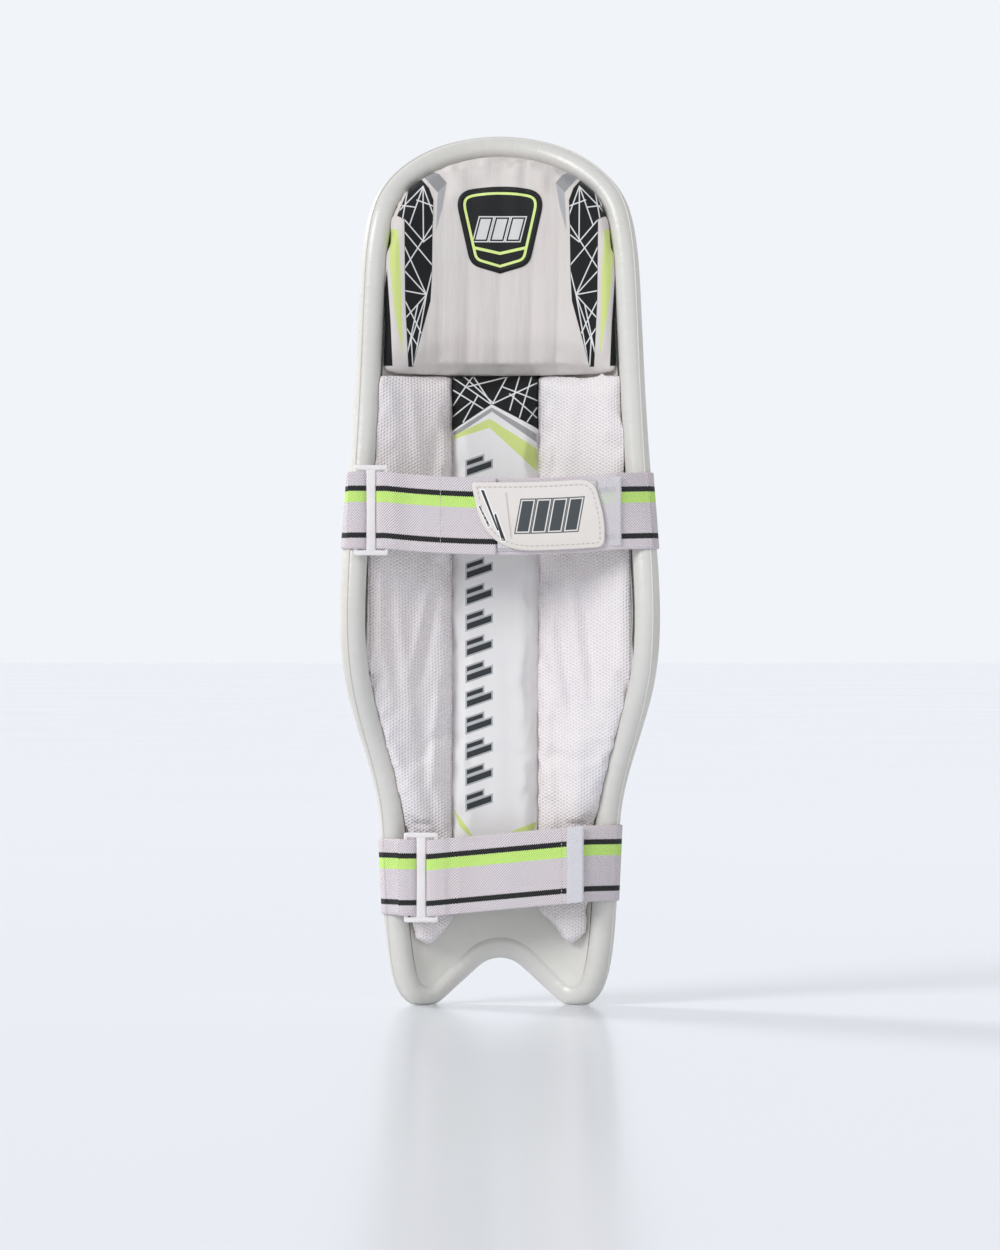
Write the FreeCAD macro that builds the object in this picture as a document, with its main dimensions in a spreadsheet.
import FreeCAD, Part
"""Cricket leg pad for the left leg, as an assembly of separate pieces.

Frame: +Z up, +Y towards the strike face, -Y towards the wearer's calf, +X towards the inner side of the leg.
The origin is at the middle of the pad's footprint, on the surface that the two lower lobes stand on.
Every layer of the pad is bent round one upright line, the pad axis, which lies inside the leg.
Shapes are drawn about that line and each sub-part's Placement carries them to the frame's origin.
The pad folds at the two grooves between its three knee rolls, so the layers are cut there.
"""
import math
import os

import Sketcher
from FreeCAD import Placement, Rotation, Vector

# ------------------------------------------------ driving dimensions, in millimetres and degrees
DIMENSIONS = [
    ("axis_shift", -90.725, "Y of the pad axis in the frame"),
    ("overall_height", 711.0, "floor to the crown of the arch"),
    ("lobe_centre", 62.0, "lobe centres, from the middle line"),
    ("lobe_radius", 24.0, "outline round a lobe"),
    ("notch_height", 38.0, "top of the instep notch"),
    ("notch_radius", 26.0, "outline of the instep notch"),
    ("lining_radius", 122.0, "inner face of the wall, from the pad axis"),
    ("board_radius", 123.5, "lining to foam board"),
    ("wadding_radius", 128.0, "foam board to wadding"),
    ("face_radius", 138.0, "plain face of the wings"),
    ("skin", 1.5, "coated fabric of the face, the rolls and the edge"),
    ("lining_skin", 1.2, "fabric of bolsters and cushion"),
    ("flute_radius", 17.0, "one flute"),
    ("flute_centre", 127.0, "flute centres, from the pad axis"),
    ("shin_pitch", 12.15, "angle between shin flutes"),
    ("top_pitch", 13.65, "angle between top flutes"),
    ("flute_foot", 125.0, "lower end of the middle shin flutes"),
    ("instep_radius", 141.0, "smooth instep panel"),
    ("cane_radius", 4.5, "cane rod"),
    ("cane_centre", 136.5, "cane rods, from the pad axis"),
    ("edge_radius", 10.0, "padded edge roll"),
    ("edge_path", 128.0, "edge roll's centre line, from the pad axis"),
    ("knee_roll_crest", 152.0, "front of the knee rolls"),
    ("lower_roll_foot", 417.0, "lower end of the lower knee roll"),
    ("lower_fold", 470.0, "lower groove, where the pad folds"),
    ("upper_fold", 500.0, "upper groove, where the pad folds"),
    ("upper_roll_head", 537.0, "upper end of the upper knee roll"),
    ("fold_line", 105.0, "fold axes, in front of the pad axis"),
    ("fold_relief", 6.5, "half angle of the room left behind each fold"),
    ("fold_gap", 0.4, "gap at each fold"),
    ("roll_half_angle", 50.0, "half span of the knee rolls"),
    ("bolster_front", 121.9, "front face of the bolsters, from the pad axis"),
    ("bolster_back", 147.0, "radius of the bolsters' back face"),
    ("bolster_depth", 26.0, "bolster thickness on the middle line"),
    ("bolster_head", 513.5, "upper end of the bolsters"),
    ("strip_left", -38.0, "left side of the centre bolster"),
    ("strip_right", 30.0, "right side of the centre bolster"),
    ("bolster_gap", 0.4, "gap between bolsters"),
    ("ankle_back", 88.0, "furthest back the bolsters reach at the ankle"),
    ("cushion_back", 272.0, "radius of the knee cushion's back face"),
    ("cushion_depth", 38.0, "knee cushion thickness on the middle line"),
    ("cushion_foot", 515.0, "lower edge of the knee cushion"),
    ("badge_width", 68.0, "badge on the knee cushion"),
    ("badge_height", 71.0, "badge on the knee cushion"),
    ("badge_thick", 1.6, "badge on the knee cushion"),
    ("badge_middle", 632.0, "height of the badge's centre"),
    ("webbing_width", 62.0, "elastic strap"),
    ("webbing_thick", 1.6, "elastic strap"),
    ("webbing_play", 0.35, "clearance of the webbing on a bar"),
    ("ring_width", 28.0, "strap ring, over its outer bars"),
    ("ring_height", 73.0, "strap ring"),
    ("ring_thick", 3.2, "strap ring, and the diameter of its outer bars"),
    ("ring_post", 6.0, "strap ring's middle bar"),
    ("ring_window", 63.5, "height of the ring's windows"),
    ("calf_height", 403.0, "calf strap's centre line at the back"),
    ("calf_slot_height", 386.0, "calf strap's centre line at the front slots"),
    ("calf_slot_angle", 36.0, "front slots of the calf strap"),
    ("calf_ring_x", -104.0, "calf ring's middle bar"),
    ("calf_ring_back", 33.0, "calf ring's plane, from the pad axis"),
    ("calf_tab_right", 84.0, "right end of the calf strap's pull tab"),
    ("calf_tab_left", -23.0, "left end of the calf strap's pull tab"),
    ("tab_height", 56.0, "pull tab"),
    ("tab_thick", 2.2, "pull tab"),
    ("ankle_outer_height", 105.5, "ankle strap's centre line on the outer side"),
    ("ankle_inner_height", 116.5, "ankle strap's centre line on the inner side"),
    ("ankle_slot_angle", 24.0, "front slots of the ankle strap"),
    ("ankle_fold_end", 62.0, "end of the ankle strap's folded end"),
    ("ankle_ring_x", -64.0, "ankle ring's middle bar"),
    ("ankle_ring_back", 68.0, "ankle ring's plane, from the pad axis"),
    ("ankle_ring_post", 9.0, "ankle ring's middle bar"),
    ("tape_thick", 1.0, "hook tape and loop tape"),
    ("lobe_flat", 1.2, "how far the edge roll flattens where the pad stands"),
]

# The outline's sides: name, height, half width over the edge roll.
SIDE_STATIONS = [
    ("lobe_side", 40.0, 91.0),
    ("instep", 70.0, 94.0),
    ("ankle", 110.0, 96.0),
    ("shin", 165.0, 99.5),
    ("flare", 215.0, 112.0),
    ("calf_low", 265.0, 125.0),
    ("calf", 325.0, 129.0),
    ("calf_high", 400.0, 124.5),
    ("knee", 485.0, 118.5),
    ("thigh", 580.0, 114.0),
    ("shoulder", 633.0, 109.0),
]
# The arch, right half: distance from the middle line, height below the crown.
CROWN_POINTS = [(102.0, 54.0), (90.0, 36.0), (72.0, 20.5), (49.0, 8.6), (25.0, 2.2), (0.0, 0.0)]
# The lower ends of the bolsters, from the left side to the right, with the notch between the two tips.
TIP_POINTS = [
    (-68.5, 66.0), (-63.0, 55.5), (-55.0, 52.5), (-49.0, 57.0),
    (-4.0, 106.0), (51.0, 61.0), (59.0, 55.5), (66.0, 65.0),
]

FRONT_REACH = 170.0  # further forward than anything, from the pad axis
SIDE_REACH = 170.0
CORE_REACH = 105.0  # further in than any layer of the wall

doc = FreeCAD.newDocument("leg_pad")
sheet = doc.addObject("Spreadsheet::Sheet", "Dimensions")
exported = []


def fill_sheet():
    """Writes the driving dimensions into the spreadsheet, one alias each."""
    rows = list(DIMENSIONS)
    for name, height, half in SIDE_STATIONS:
        rows.append((name + "_level", height, "height of this station of the outline"))
        rows.append((name + "_half", half, "half width of the pad there"))
    for row, (alias, value, note) in enumerate(rows, start=1):
        sheet.set(f"A{row}", alias)
        sheet.set(f"B{row}", str(value))
        sheet.set(f"C{row}", note)
        sheet.setAlias(f"B{row}", alias)
    doc.recompute()


def dim(alias):
    return float(sheet.get(alias))


def bind(obj, prop, expression):
    """Binds a property to the sheet. Aliases in the expression are written without the sheet's name."""
    words = expression.replace("(", " ( ").replace(")", " ) ").split()
    known = {alias for alias, _, _ in DIMENSIONS}
    obj.setExpression(prop, " ".join("Dimensions." + w if w in known else w for w in words))


def home(extra=Vector(0, 0, 0)):
    """The placement that carries a shape from the pad axis to the frame's origin."""
    return Placement(Vector(0, dim("axis_shift"), 0) + extra, Rotation())


def keep(obj, label):
    """Makes an object a sub-part: its label names its file."""
    obj.Label = label
    exported.append(obj)
    return obj


def settle(obj, shape):
    """Puts a computed shape on a Part::Feature and then places it."""
    obj.Shape = shape
    obj.Placement = home()
    return obj


def freeform(label, shape):
    return keep(settle(doc.addObject("Part::Feature", label), shape), label)


# ---------------------------------------------------------------- the outline and the regions it bounds
def half_width(height):
    """Half width over the edge roll at a height on the sides, smooth through the stations."""
    levels = [dim(name + "_level") for name, _, _ in SIDE_STATIONS]
    halves = [dim(name + "_half") for name, _, _ in SIDE_STATIONS]
    last = len(levels) - 1
    height = min(max(height, levels[0]), levels[last])
    i = max(k for k in range(last) if levels[k] <= height)

    def slope(k):
        a, b = max(k - 1, 0), min(k + 1, last)
        return (halves[b] - halves[a]) / (levels[b] - levels[a])

    span = levels[i + 1] - levels[i]
    u = (height - levels[i]) / span
    start = (1 + 2 * u) * (1 - u) ** 2 * halves[i] + u * (1 - u) ** 2 * span * slope(i)
    end = u * u * (3 - 2 * u) * halves[i + 1] + u * u * (u - 1) * span * slope(i + 1)
    return start + end


def about_axis(angle, radius, height=0.0):
    """A point at an angle from the middle line, positive towards the inner side."""
    a = math.radians(angle)
    return Vector(radius * math.sin(a), radius * math.cos(a), height)


def arc_points(x, height, radius, start, end, count):
    """Points on an arc in the XZ plane, by angles from +X."""
    angles = [math.radians(start + (end - start) * k / (count - 1)) for k in range(count)]
    return [(x + radius * math.cos(a), height + radius * math.sin(a)) for a in angles]


def outline_curve():
    """The closed outline over the edge roll, in the XZ plane, anticlockwise from the notch."""
    crown, lobe_x, lobe_r = dim("overall_height"), dim("lobe_centre"), dim("lobe_radius")
    notch_r = dim("notch_radius")
    lobe_z, notch_z = lobe_r - dim("lobe_flat"), dim("notch_height") - notch_r
    rise = lobe_z - notch_z
    slope = math.degrees(math.atan2(rise, lobe_x) - math.asin((lobe_r + notch_r) / math.hypot(lobe_x, rise)))
    notch = arc_points(0.0, notch_z, notch_r, 90.0, 90.0 + slope, 4)
    lobe = arc_points(lobe_x, lobe_z, lobe_r, 270.0 + slope, 338.0, 8)
    (ax, az), (bx, bz) = notch[-1], lobe[0]
    flank = [(ax + (bx - ax) * t, az + (bz - az) * t) for t in (0.25, 0.5, 0.75)]
    right = notch + flank + lobe
    right += [(dim(name + "_half"), dim(name + "_level")) for name, _, _ in SIDE_STATIONS]
    right += [(x, crown - drop) for x, drop in CROWN_POINTS]
    left = [(-x, z) for x, z in reversed(right[1:-1])]
    curve = Part.BSplineCurve()
    curve.interpolate(Points=[Vector(x, 0, z) for x, z in right + left], PeriodicFlag=True)
    return curve


def inset_outline(distance, count):
    """The outline moved inwards by a distance, as evenly spaced points (x, height)."""
    curve = outline_curve()
    length = curve.length()
    points = []
    for k in range(count):
        point, tangent = curve.getD1(curve.parameterAtDistance(length * k / count, curve.FirstParameter))
        tangent.normalize()
        points.append((point.x - tangent.z * distance, point.z + tangent.x * distance))
    return points


def unrolled_edge(count):
    """The edge roll's centre line, as (arc length round the pad axis, height)."""
    path = dim("edge_path")
    return [(path * math.asin(x / path), z) for x, z in inset_outline(dim("edge_radius"), count)]


def shifted(points, distance, count):
    """A smooth closed flat line through points, moved inwards; the line runs anticlockwise."""
    curve = Part.BSplineCurve()
    curve.interpolate(Points=[Vector(x, 0, z) for x, z in points], PeriodicFlag=True)
    first, span = curve.FirstParameter, curve.LastParameter - curve.FirstParameter
    moved = []
    for k in range(count):
        point, tangent = curve.getD1(first + span * k / count)
        tangent.normalize()
        moved.append((point.x - tangent.z * distance, point.z + tangent.x * distance))
    return moved


def wrapped(points, radius, closed):
    """A smooth line through (arc length on the edge roll's cylinder, height), laid on a cylinder."""
    turned = [about_axis(math.degrees(s / dim("edge_path")), radius, z) for s, z in points]
    curve = Part.BSplineCurve()
    curve.interpolate(Points=turned, PeriodicFlag=closed)
    return curve


def wall_region():
    """Everything inside the edge roll: its side face runs straight out from the pad axis."""
    line = shifted(edge_line, dim("edge_radius") + 1.5, 2 * len(edge_line))
    near, far = (wrapped(line, radius, True).toShape() for radius in (CORE_REACH - 10.0, FRONT_REACH + 10.0))
    side = Part.makeRuledSurface(near, far)
    low, tall = Vector(0, 0, -30.0), dim("overall_height") + 60.0
    ring = Part.makeCylinder(FRONT_REACH, tall, low).cut(Part.makeCylinder(CORE_REACH, tall, low))
    front = Part.makeBox(2 * SIDE_REACH + 60.0, FRONT_REACH + 30.0, tall,
                         Vector(-SIDE_REACH - 30.0, 5.0, -30.0))
    pieces, _ = ring.common(front).generalFuse([side])
    return min(pieces.Solids, key=lambda solid: solid.Volume)


def shell(inner, outer):
    """A layer of the wall between two radii, before its edge is cut."""
    low, tall = Vector(0, 0, -20.0), dim("overall_height") + 40.0
    return Part.makeCylinder(outer, tall, low).cut(Part.makeCylinder(inner, tall, low))


def spline_edge(points):
    curve = Part.BSplineCurve()
    curve.interpolate([Vector(x, 0, z) for x, z in points])
    return curve.toShape()


def line_edge(a, b):
    return Part.LineSegment(a, b).toShape()


def fold_zones():
    """Three solids that part the pad at its folds, with room behind each fold axis."""
    line, gap = dim("fold_line"), dim("fold_gap") / 2
    rise = math.tan(math.radians(dim("fold_relief"))) * (line + 20.0)
    back, front, low, high = -20.0, FRONT_REACH, -20.0, dim("overall_height") + 20.0

    def zone(side_points):
        wire = Part.makePolygon([Vector(-SIDE_REACH, y, z) for y, z in side_points + side_points[:1]])
        return Part.Face(wire).extrude(Vector(2 * SIDE_REACH, 0, 0))

    lower, upper = dim("lower_fold"), dim("upper_fold")
    below = zone([(back, low), (front, low), (front, lower - gap), (line, lower - gap),
                  (back, lower - gap - rise)])
    middle = zone(
        [
            (back, lower + gap + rise),
            (line, lower + gap),
            (front, lower + gap),
            (front, upper - gap),
            (line, upper - gap),
            (back, upper - gap - rise),
        ]
    )
    above = zone([(back, upper + gap + rise), (line, upper + gap), (front, upper + gap), (front, high),
                  (back, high)])
    return {"shin": below, "middle": middle, "top": above}


def roll_section(curve, parameter, radius):
    """A circle across the edge roll, turned so that all circles start on the side away from the pad axis."""
    point, tangent = curve.getD1(parameter)
    tangent.normalize()
    across = tangent.cross(Vector(point.x, point.y, 0).normalize()).normalize()
    outward = across.cross(tangent)
    circle = Part.Wire(Part.Circle(Vector(0, 0, 0), Vector(0, 0, 1), radius).toShape())
    columns = [(outward.x, across.x, tangent.x, point.x), (outward.y, across.y, tangent.y, point.y)]
    columns.append((outward.z, across.z, tangent.z, point.z))
    circle.Placement = Placement(FreeCAD.Matrix(*[value for row in columns for value in row]))
    return circle


def tube(points, radius):
    """A length of the edge roll at a radius, through points of the unrolled edge."""
    curve = wrapped(points, dim("edge_path"), False)
    length = curve.length()
    count = int(length / 12.0)
    stops = [curve.parameterAtDistance(length * k / count, curve.FirstParameter) for k in range(count)]
    return Part.makeLoft([roll_section(curve, stop, radius) for stop in stops + [curve.LastParameter]],
                         True, False)


def edge_solids(radius):
    """The edge roll of each section, flattened where the pad stands on its lobes."""
    count = len(edge_line)
    half = count // 2
    reach_up = max(k for k in range(half) if edge_line[k][1] < dim("upper_fold") + 50.0)
    reach_down = min(k for k in range(half) if edge_line[k][1] > dim("lower_fold") - 20.0)
    right = tube(edge_line[: reach_up + 1], radius)
    left = tube(edge_line[count - reach_up :] + edge_line[:1], radius)
    arch = tube(edge_line[reach_down : count - reach_down + 1], radius)
    inset = dim("edge_radius") - radius
    floor = Part.makeBox(2 * SIDE_REACH, 2 * FRONT_REACH, 60.0, Vector(-SIDE_REACH, -20.0, -60.0 + inset))
    return {
        "shin": [side.common(zones["shin"]).cut(floor) for side in (left, right)],
        "middle": [side.common(zones["middle"]) for side in (left, right)],
        "top": [arch.common(zones["top"])],
    }


def single(shape):
    """The solids of a boolean's result as one shape."""
    solids = shape.Solids
    return solids[0] if len(solids) == 1 else Part.makeCompound(solids)


# ---------------------------------------------------------------- the wall's layers
def flute_angles(section):
    pitch, count = (dim("shin_pitch"), 6) if section == "shin" else (dim("top_pitch"), 8)
    return [(k - (count - 1) / 2) * pitch for k in range(count)]


def fluted(section, inset):
    """The fluted face of one section, taken in by an inset, as a solid from the pad axis outwards."""
    low, high = dim("upper_roll_head"), dim("overall_height")
    if section == "shin":
        low, high = -20.0, dim("lower_roll_foot")
    start = Vector(0, 0, -20.0)
    plain = Part.makeCylinder(dim("face_radius") - inset, dim("overall_height") + 40.0, start)
    inner_flutes = 2 * dim("shin_pitch")
    ridges = []
    for angle in flute_angles(section):
        foot = dim("flute_foot") if section == "shin" and abs(angle) < inner_flutes else low
        ridges.append(Part.makeCylinder(dim("flute_radius") - inset, high - foot,
                                        about_axis(angle, dim("flute_centre"), foot)))
    if section == "shin":
        up = Vector(0, 0, 1)
        tall = dim("flute_foot") - low
        panel = Part.makeCylinder(dim("instep_radius") - inset, tall, Vector(0, 0, low), up, 2 * inner_flutes)
        panel.rotate(Vector(0, 0, 0), up, 90.0 - inner_flutes)
        ridges.append(panel)
    return plain.fuse(ridges)


def cane_rods(section):
    """Straight rods, one in each flute that has room for it, each as long as its flute allows."""
    path = dim("edge_path")
    arch = [(path * math.sin(s / path), z) for s, z in shifted(edge_line, 28.0, 200) if z > 600.0]
    rods = []
    angles = flute_angles(section)
    for angle in angles if section == "shin" else angles[1:-1]:
        centre = about_axis(angle, dim("cane_centre"))
        if section == "shin":
            low, high = dim("flute_foot") + 4.0, dim("lower_roll_foot") - 4.0
        else:
            low = dim("upper_roll_head") + 4.0
            high = min(arch, key=lambda p: abs(p[0] - centre.x))[1]
        rods.append(Part.makeCylinder(dim("cane_radius"), high - low, centre + Vector(0, 0, low)))
    return Part.makeCompound(rods)


def wall_layers():
    """The layers of the shin and top sections, lining to face cover, and the middle section's wall."""
    lining, board = (shell(dim("lining_radius"), dim("board_radius")),
                     shell(dim("board_radius"), dim("wadding_radius")))
    core = Part.makeCylinder(dim("wadding_radius"), dim("overall_height") + 60.0, Vector(0, 0, -30.0))
    for section in ("shin", "top"):
        region = regions[section]
        freeform(section + "_lining", single(lining.common(region)))
        freeform(section + "_foam_board", single(board.common(region)))
        canes = cane_rods(section)
        freeform(section + "_canes", canes)
        whole, stuffing = fluted(section, 0.0), fluted(section, dim("skin"))
        freeform(section + "_wadding", single(stuffing.cut(core).cut(canes).common(region)))
        freeform(section + "_face_cover", single(whole.cut(stuffing).common(region)))
    region = regions["middle"]
    freeform("knee_lining", single(lining.common(region)))
    freeform("knee_foam_board", single(shell(dim("board_radius"), dim("face_radius")).common(region)))


def edge_rolls():
    """The padded roll round the edge: a tube of coated fabric on a foam cord, parted at the folds."""
    full, cords = edge_solids(dim("edge_radius")), edge_solids(dim("edge_radius") - dim("skin"))
    for section, name in (("shin", "shin"), ("middle", "knee"), ("top", "top")):
        covers = [whole.cut(cord).Solids[0] for whole, cord in zip(full[section], cords[section])]
        freeform(name + "_edge_cover", Part.makeCompound(covers))
        freeform(name + "_edge_cord", Part.makeCompound([cord.Solids[0] for cord in cords[section]]))


# ---------------------------------------------------------------- knee rolls
def revolved(label, profile_edges, half_angle):
    """A PartDesign body: a profile in the YZ plane turned about the pad axis, evenly to both sides."""
    body = doc.addObject("PartDesign::Body", label)
    planes = {f.Role: f for f in body.Origin.OriginFeatures}
    sketch = body.newObject("Sketcher::SketchObject", label + "_profile")
    sketch.AttachmentSupport = [(planes["YZ_Plane"], "")]
    sketch.MapMode = "FlatFace"
    sketch.addGeometry(profile_edges, False)
    turn = body.newObject("PartDesign::Revolution", label + "_turn")
    turn.Profile = sketch
    turn.ReferenceAxis = (planes["Z_Axis"], [""])
    turn.Midplane = True
    bind(turn, "Angle", f"2 * {half_angle}")
    return body


def roll_profile(foot, head, inset):
    """A D-shaped section: flat against the wall, rounded to the front."""
    back, crest = dim("face_radius") + 0.2 + inset, dim("knee_roll_crest") - inset
    low, high = foot + inset, head - inset
    shoulder = back + 0.32 * (crest - back)
    a, b = Vector(back, low, 0), Vector(shoulder, low, 0)
    c, d = Vector(shoulder, high, 0), Vector(back, high, 0)
    nose = Part.Arc(b, Vector(crest, (low + high) / 2, 0), c)
    return [Part.LineSegment(a, b), nose, Part.LineSegment(c, d), Part.LineSegment(d, a)]


def knee_rolls():
    """Three stuffed rolls across the knee: each a cover on its filling."""
    gap = dim("fold_gap") / 2
    spans = {
        "lower": (dim("lower_roll_foot"), dim("lower_fold") - gap, "shin"),
        "middle": (dim("lower_fold") + gap, dim("upper_fold") - gap, "middle"),
        "upper": (dim("upper_fold") + gap, dim("upper_roll_head"), "top"),
    }
    for name, (foot, head, section) in spans.items():
        label = name + "_knee_roll"
        outside = revolved(label + "_outside", roll_profile(foot, head, 0.0), "roll_half_angle")
        inside = revolved(label + "_inside", roll_profile(foot, head, dim("skin")),
                          "( roll_half_angle - 0.7 )")
        zone = doc.addObject("Part::Feature", label + "_zone")
        zone.Shape = zones[section]
        stuffed = doc.addObject("Part::Common", label + "_stuffed")
        stuffed.Base, stuffed.Tool = inside, zone
        full = doc.addObject("Part::Common", label + "_full")
        full.Base, full.Tool = outside, zone
        doc.recompute()
        outer, inner = full.Shape, stuffed.Shape
        if name == "lower":
            outer, inner = outer.cut(strap_room(0.0)), inner.cut(strap_room(dim("skin")))
        freeform(label + "_cover", single(outer.cut(inner)))
        freeform(label + "_filling", single(inner))


def strap_room(margin):
    """The room that the calf strap takes out of the lower knee roll's two lower corners."""
    inner_side, top = 79.0 - margin, dim("calf_height") + dim("webbing_width") / 2 + 2.0 + margin
    boxes = []
    for left in (inner_side, -SIDE_REACH):
        corner = Vector(left, 0, 0)
        boxes.append(Part.makeBox(SIDE_REACH - inner_side, FRONT_REACH, top, corner))
    return boxes[0].fuse(boxes[1])


# ---------------------------------------------------------------- bolsters and knee cushion
def padded_section(label, left, right, front, back_radius, depth, inset, low, high):
    """A body padded upwards: a plan section between the wall and a flatter back face."""
    body = doc.addObject("PartDesign::Body", label)
    planes = {f.Role: f for f in body.Origin.OriginFeatures}
    sketch = body.newObject("Sketcher::SketchObject", label + "_plan")
    sketch.AttachmentSupport = [(planes["XY_Plane"], "")]
    sketch.MapMode = "FlatFace"
    sketch.AttachmentOffset = Placement(Vector(0, 0, low), Rotation())
    left, right, front = left + inset, right - inset, front - inset
    rear_middle = front + inset - depth + inset
    rear_centre = rear_middle - inset - back_radius
    rear = back_radius + inset

    def on_front(x):
        return Vector(x, math.sqrt(front * front - x * x), 0)

    def on_rear(x):
        return Vector(x, rear_centre + math.sqrt(rear * rear - x * x), 0)

    middle = (left + right) / 2
    sketch.addGeometry(
        [
            Part.Arc(on_front(left), on_front(middle), on_front(right)),
            Part.LineSegment(on_front(right), on_rear(right)),
            Part.Arc(on_rear(right), on_rear(middle), on_rear(left)),
            Part.LineSegment(on_rear(left), on_front(left)),
        ],
        False,
    )
    pad = body.newObject("PartDesign::Pad", label + "_height")
    pad.Profile = sketch
    pad.Length = high - low
    return body


def bolster_region(inset):
    """The bolsters' outline seen from behind, made thin enough at the ankle for the strap to pass."""
    side_heights = (95.0, 130.0, 165.0, 200.0, 235.0, 280.0, 325.0, 370.0, 420.0, 470.0)
    sides = [(half_width(z) - 2 * dim("edge_radius") - 2.0 - inset, z) for z in side_heights]
    head = dim("bolster_head") - inset
    sides.append((half_width(head) - 2 * dim("edge_radius") - 2.0 - inset, head))
    lift = [(x, z + inset) for x, z in TIP_POINTS]
    left = [(-x, z) for x, z in reversed(sides)]
    notch = [p for p in lift if p[0] == -4.0][0]
    left_tip = [left[-1]] + [p for p in lift if p[0] < notch[0]]
    right_tip = [p for p in lift if p[0] > notch[0]] + [sides[0]]

    def at(p):
        return Vector(p[0], 0, p[1])

    edges = [
        spline_edge(left),
        spline_edge(left_tip),
        line_edge(at(left_tip[-1]), at(notch)),
        line_edge(at(notch), at(right_tip[0])),
        spline_edge(right_tip),
        spline_edge(sides),
        line_edge(at(sides[-1]), at(left[0])),
    ]
    outline = Part.Face(Part.Wire(edges)).extrude(Vector(0, FRONT_REACH, 0))
    ankle = dim("ankle_back") + inset
    profile = [(ankle, -10.0), (ankle, 140.0), (45.0 + inset, 225.0), (0.0, 300.0), (0.0, 760.0),
               (FRONT_REACH, 760.0)]
    profile += [(FRONT_REACH, -10.0), (ankle, -10.0)]
    wire = Part.makePolygon([Vector(-SIDE_REACH, y, z) for y, z in profile])
    return outline.common(Part.Face(wire).extrude(Vector(2 * SIDE_REACH, 0, 0)))


def bolsters():
    """Three upright bolsters behind the shin, each a cover on foam, parted at the folds."""
    gap = dim("bolster_gap") / 2
    wide = 112.0
    columns = {
        "left": (-wide, dim("strip_left") - gap),
        "centre": (dim("strip_left") + gap, dim("strip_right") - gap),
        "right": (dim("strip_right") + gap, wide),
    }
    skin = dim("lining_skin")
    bounds = {0.0: bolster_region(0.0), skin: bolster_region(skin)}
    pieces = {}
    for name, (left, right) in columns.items():
        for inset in (0.0, skin):
            tag = "core" if inset else "whole"
            body = padded_section(
                f"{name}_bolster_{tag}",
                left,
                right,
                dim("bolster_front"),
                dim("bolster_back"),
                dim("bolster_depth"),
                inset,
                0.0,
                600.0,
            )
            doc.recompute()
            pieces[name, tag] = body.Shape.common(bounds[inset])
    for name in columns:
        core = pieces[name, "core"].common(zones["shin"])
        whole = pieces[name, "whole"].common(zones["shin"])
        freeform(f"{name}_bolster_foam", single(core))
        freeform(f"{name}_bolster_cover", single(whole.cut(core)))
    for section, label in (("middle", "knee_bolster_segments"), ("top", "upper_bolster_ends")):
        segments = [pieces[name, "whole"].common(zones[section]).Solids[0] for name in columns]
        freeform(label, Part.makeCompound(segments))


def cushion_solid(inset):
    """The knee cushion: fills the arch of the top section from edge roll to edge roll."""
    body = padded_section(
        "knee_cushion_core" if inset else "knee_cushion_whole",
        -100.0,
        100.0,
        dim("bolster_front"),
        dim("cushion_back"),
        dim("cushion_depth"),
        inset,
        dim("cushion_foot") + inset,
        dim("overall_height"),
    )
    doc.recompute()
    side = half_width(580.0) - 2 * dim("edge_radius") - 2.0 - inset
    arch = [(x, z) for x, z in inset_outline(2 * dim("edge_radius") + 2.0 + inset, 110) if z > 600.0]
    arch = [(side, dim("cushion_foot"))] + arch[::3] + [(-side, dim("cushion_foot"))]
    foot = line_edge(Vector(-side, 0, arch[-1][1]), Vector(side, 0, arch[0][1]))
    face = Part.Face(Part.Wire([spline_edge(arch), foot]))
    return body.Shape.common(face.extrude(Vector(0, FRONT_REACH, 0)))


def knee_cushion():
    skin = dim("lining_skin")
    whole, core = cushion_solid(0.0), cushion_solid(skin)
    freeform("knee_cushion_foam", single(core))
    freeform("knee_cushion_cover", single(whole.cut(core)))


def badge():
    """A moulded shield with rounded upper corners and a pointed foot, on the cushion's curved back."""
    half, tall, middle = dim("badge_width") / 2, dim("badge_height") / 2, dim("badge_middle")
    corners = [(0, -tall), (0.64 * half, -0.80 * tall), (half, 0.55 * tall), (0.78 * half, 0.93 * tall),
               (0, tall)]
    corners += [(-x, z) for x, z in corners[3:0:-1]]
    points = [Vector(x, 0, middle + z) for x, z in corners]
    shield = Part.Face(Part.makePolygon(points + points[:1])).extrude(Vector(0, FRONT_REACH, 0))
    radius = dim("cushion_back")
    foot = Vector(0, dim("bolster_front") - dim("cushion_depth") - radius, middle - tall - 5.0)
    lens = Part.makeCylinder(radius, 2 * tall + 10.0, foot)
    layer = lens.cut(Part.makeCylinder(radius - dim("badge_thick"), 2 * tall + 10.0, foot))
    freeform("knee_badge", single(layer.common(shield)))


# ---------------------------------------------------------------- straps
def rim_centre(height):
    """The edge roll's centre at a height on the inner side, in plan."""
    x = half_width(height) - dim("edge_radius")
    return x, math.sqrt(dim("edge_path") ** 2 - x * x)


def ribbon(stations, thickness):
    """A band standing on edge through stations, each its (upper, lower) point on the middle plane."""
    wires = []
    last = len(stations) - 1
    for k in range(last + 1):
        before, after = stations[max(k - 1, 0)], stations[min(k + 1, last)]
        corners = []
        for edge in (0, 1):
            run = after[edge] - before[edge] if 0 < k < last else after[0] - before[0] + after[1] - before[1]
            side = Vector(-run.y, run.x, 0).normalize() * (thickness / 2)
            point = stations[k][edge]
            corners.append((point + side, point - side))
        (a, b), (d, c) = corners
        wires.append(Part.makePolygon([a, b, c, d, a]))
    return Part.makeLoft(wires, True, True)


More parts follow.
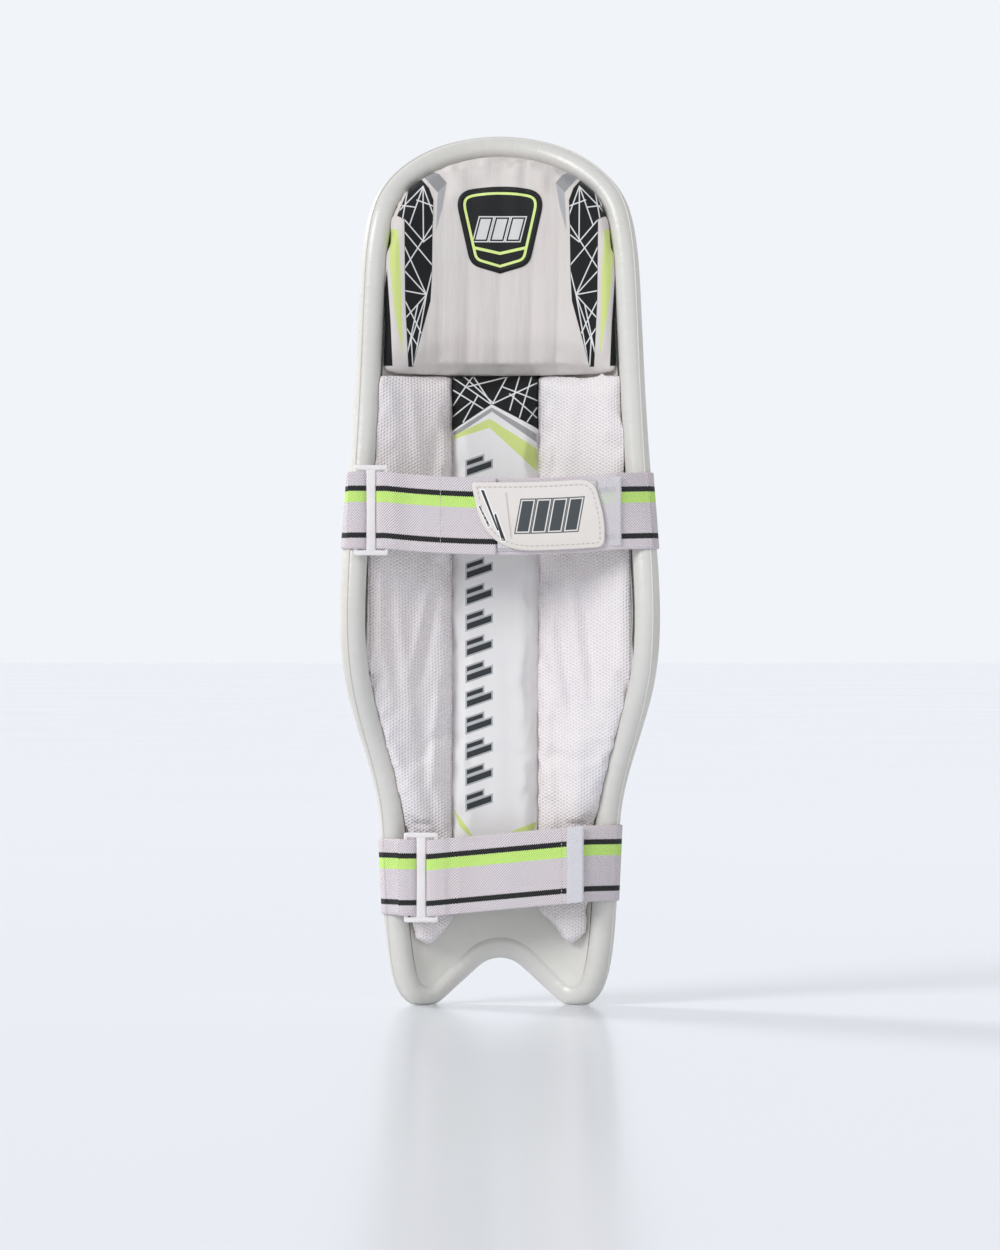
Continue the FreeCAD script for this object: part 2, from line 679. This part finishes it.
def standing(points, width):
    """Stations for a band whose middle line runs through points."""
    up = Vector(0, 0, width / 2)
    return [(Vector(*p) + up, Vector(*p) - up) for p in points]


def wrap_stations(side, slot_angle, slot_height, back_height, over_flutes):
    """The strap's run on one side (+1 inner, -1 outer), from its front slot round the edge roll."""
    offset = dim("webbing_thick") / 2 + 0.12
    ride = dim("flute_centre") + dim("flute_radius") if over_flutes else dim("face_radius")
    turn = dim("edge_radius") + dim("webbing_thick") / 2 + 0.45
    lines = []
    for half in (dim("webbing_width") / 2, -dim("webbing_width") / 2):
        x, y = rim_centre(back_height + half)
        reach = math.degrees(math.asin(x / dim("edge_path")))
        line = []
        steps = 7
        for k in range(steps):
            share = k / (steps - 1)
            angle = slot_angle + 1.5 + (reach - 7.0 - slot_angle) * share
            line.append(about_axis(angle, ride + offset,
                                   slot_height + (back_height - slot_height) * share + half))
        start = 96.0 - reach
        for k in range(9):
            a = math.radians(start + (-62.0 - start) * k / 8)
            line.append(Vector(x + turn * math.cos(a), y + turn * math.sin(a), back_height + half))
        lines.append([Vector(side * p.x, p.y, p.z) for p in line])
    return list(zip(*lines))


def bar_turn(bar_x, back, start, end):
    """Plan points of webbing round a ring's outer bar, from one angle to another."""
    radius = dim("ring_thick") / 2 + dim("webbing_play") + dim("webbing_thick") / 2
    angles = [math.radians(start + (end - start) * k / 8) for k in range(9)]
    return [(bar_x + radius * math.cos(a), back + radius * math.sin(a)) for a in angles]


def strap_set(name, heights, slot_angle, slot_heights, ring_x, back, over_flutes):
    """The two lengths of one strap sewn to the pad: the loop that holds the ring, and the long strap.

    heights and slot_heights are (outer, inner). The long strap comes round the inner edge and runs on
    the leg's side to the ring's right bar, where it turns back; the turn itself is left open so that
    the folded end can hinge there.
    Returns the right bar's x and the run of the long strap: (x, height, slope).
    """
    outer_height, inner_height = heights
    half = dim("ring_width") / 2 - dim("ring_thick") / 2
    left_bar, right_bar = ring_x - half, ring_x + half
    layer = dim("ring_thick") / 2 + dim("webbing_play") + dim("webbing_thick") / 2
    thick, width = dim("webbing_thick"), dim("webbing_width")

    outer = wrap_stations(-1, slot_angle, slot_heights[0], outer_height, over_flutes)
    tail = [(px, py, outer_height) for px, py in bar_turn(left_bar, back, 90.0, -90.0)]
    tail.append((left_bar - 5.0, back - layer, outer_height))
    freeform(name + "_ring_loop", ribbon(outer + standing(tail, width), thick))

    inner = wrap_stations(1, slot_angle, slot_heights[1], inner_height, over_flutes)
    flat = back + layer
    run_in = inner[-1][0].x - 24.0
    slope = (inner_height - outer_height) / (run_in - right_bar)
    at_bar = inner_height - slope * (run_in - right_bar)
    inner += standing([(run_in, flat, inner_height), (right_bar, flat, at_bar)], width)
    freeform(name + "_strap", ribbon(inner, thick))
    return right_bar, (right_bar, at_bar, slope)


def strap_ring(name, height, ring_x, back, post_alias):
    """The moulded ring: two outer bars that the webbing turns on and a flat middle bar."""
    body = doc.addObject("PartDesign::Body", name)
    planes = {f.Role: f for f in body.Origin.OriginFeatures}

    def rectangle(label, left, right, tall):
        sketch = body.newObject("Sketcher::SketchObject", label)
        sketch.AttachmentSupport = [(planes["XZ_Plane"], "")]
        sketch.MapMode = "FlatFace"
        p = [Vector(left, -tall / 2, 0), Vector(right, -tall / 2, 0), Vector(right, tall / 2, 0),
             Vector(left, tall / 2, 0)]
        sketch.addGeometry([Part.LineSegment(a, b) for a, b in zip(p, p[1:] + p[:1])], False)
        return sketch

    half, bar, post = dim("ring_width") / 2, dim("ring_thick"), dim(post_alias) / 2
    outline = rectangle(name + "_outline", -half, half, dim("ring_height"))
    plate = body.newObject("PartDesign::Pad", name + "_plate")
    plate.Profile = outline
    plate.SideType = "Symmetric"
    bind(plate, "Length", "ring_thick")
    for side, left, right in (("left", -half + bar, -post), ("right", post, half - bar)):
        opening = rectangle(f"{name}_{side}_opening", left, right, dim("ring_window"))
        window = body.newObject("PartDesign::Pocket", f"{name}_{side}_window")
        window.Profile = opening
        window.Midplane = True
        bind(window, "Length", "2 * ring_thick")
    doc.recompute()
    solid = body.Tip.Shape
    chosen = []
    for number, edge in enumerate(solid.Edges, start=1):
        box = edge.BoundBox
        on_bar = abs(abs(box.Center.x) - (half - bar)) < 0.01 or abs(abs(box.Center.x) - half) < 0.01
        if on_bar and box.ZLength > 0.9 * dim("ring_window"):
            chosen.append(f"Edge{number}")
    round_bars = body.newObject("PartDesign::Fillet", name + "_round_bars")
    round_bars.Base = (window, chosen)
    round_bars.Radius = dim("ring_thick") * 0.47
    body.Tip = round_bars
    body.Placement = home(Vector(ring_x, back, height))
    doc.recompute()
    return keep(body, name)


def lane(label, stops, depth, tall, run):
    """A straight length beside the long strap: stops are (x, y of the middle), run is (x, height, slope)."""
    x0, height, slope = run
    freeform(label, ribbon(standing([(x, y, height + slope * (x - x0)) for x, y in stops], tall), depth))


def straps():
    """Both straps with their rings, loops, folded ends, tabs and tapes."""
    thick, tape, width = dim("webbing_thick"), dim("tape_thick"), dim("webbing_width")
    calf_back, ankle_back = dim("calf_ring_back"), dim("ankle_ring_back")
    calf_z, outer_z, inner_z = dim("calf_height"), dim("ankle_outer_height"), dim("ankle_inner_height")
    slots = (dim("calf_slot_height"), dim("calf_slot_height"))
    calf_bar, calf_run = strap_set(
        "calf", (calf_z, calf_z), dim("calf_slot_angle"), slots, dim("calf_ring_x"), calf_back, False
    )
    ankle_bar, ankle_run = strap_set(
        "ankle",
        (outer_z, inner_z),
        dim("ankle_slot_angle"),
        (outer_z - 1.0, inner_z + 1.0),
        dim("ankle_ring_x"),
        ankle_back,
        True,
    )
    strap_ring("calf_ring", calf_z, dim("calf_ring_x"), calf_back, "ring_post")
    strap_ring("ankle_ring", outer_z, dim("ankle_ring_x"), ankle_back, "ankle_ring_post")

    # Layers towards the wearer from the ring's plane: the long strap's back face, then the two tapes.
    layer = dim("ring_thick") / 2 + dim("webbing_play")
    play = 0.03
    loop_middle = layer - play - tape / 2
    hook_middle = loop_middle - tape - play
    tab_face = hook_middle - tape / 2 - play
    bend = 18.0

    left, right, tall = dim("calf_tab_left"), dim("calf_tab_right"), dim("tab_height")
    fold_end = left + 20.0
    folded = calf_back + tab_face + thick / 2
    lane("calf_loop_tape",
         [(fold_end + 1.0, calf_back + loop_middle), (right + 14.0, calf_back + loop_middle)], tape,
         width - 6.0, calf_run)
    start = (calf_bar, calf_back - layer - thick / 2)
    lane("calf_fold", [start, (calf_bar + bend, folded), (fold_end, folded)], thick, width, calf_run)
    lane("calf_hook_tape",
         [(fold_end + 1.0, calf_back + hook_middle), (right - 6.0, calf_back + hook_middle)], tape,
         width - 10.0, calf_run)
    tab_middle = calf_back + tab_face - play - dim("tab_thick") / 2
    lane("calf_pull_tab", [(left, tab_middle), (right, tab_middle)], dim("tab_thick"), tall, calf_run)

    end, tape_start = dim("ankle_fold_end"), dim("ankle_fold_end") - 42.0
    loop_y, hook_y = ankle_back + loop_middle, ankle_back + hook_middle
    lane("ankle_loop_tape", [(tape_start - 12.0, loop_y), (end, loop_y)], tape, width - 6.0, ankle_run)
    folded = ankle_back + tab_face - thick / 2
    start = (ankle_bar, ankle_back - layer - thick / 2)
    lane("ankle_fold", [start, (ankle_bar + bend, folded), (end, folded)], thick, width, ankle_run)
    lane("ankle_hook_tape", [(tape_start, hook_y), (end, hook_y)], tape, width - 10.0, ankle_run)
    band_middle = folded - thick / 2 - play - tape / 2
    lane("ankle_end_band", [(end - 8.0, band_middle), (end + 6.0, band_middle)], tape, width, ankle_run)


# ---------------------------------------------------------------- assembly
fill_sheet()
edge_line = unrolled_edge(110)
zones = fold_zones()
inside = wall_region()
regions = {section: zone.common(inside) for section, zone in zones.items()}

wall_layers()
edge_rolls()
knee_rolls()
bolsters()
knee_cushion()
badge()
straps()
doc.recompute()

os.makedirs("parts", exist_ok=True)
for stale in os.listdir("parts"):
    os.remove(os.path.join("parts", stale))
for obj in doc.Objects:
    if "Invalid" in obj.State or "Error" in obj.State:
        raise RuntimeError(f"{obj.Label} failed: {obj.State}")
for obj in exported:
    shape = obj.Shape
    if shape.isNull() or not shape.isValid() or not shape.Solids:
        raise RuntimeError(f"{obj.Label} has no valid solid")
for obj in exported:
    obj.Shape.exportStep(os.path.join("parts", obj.Label + ".step"))
    box = obj.Shape.BoundBox
    print(
        f"{obj.Label:26s} {len(obj.Shape.Solids)} solids {obj.Shape.Volume / 1000:8.1f} cm3 "
        f"x {box.XMin:7.1f} {box.XMax:7.1f} y {box.YMin:7.1f} {box.YMax:7.1f} "
        f"z {box.ZMin:7.1f} {box.ZMax:7.1f}"
    )
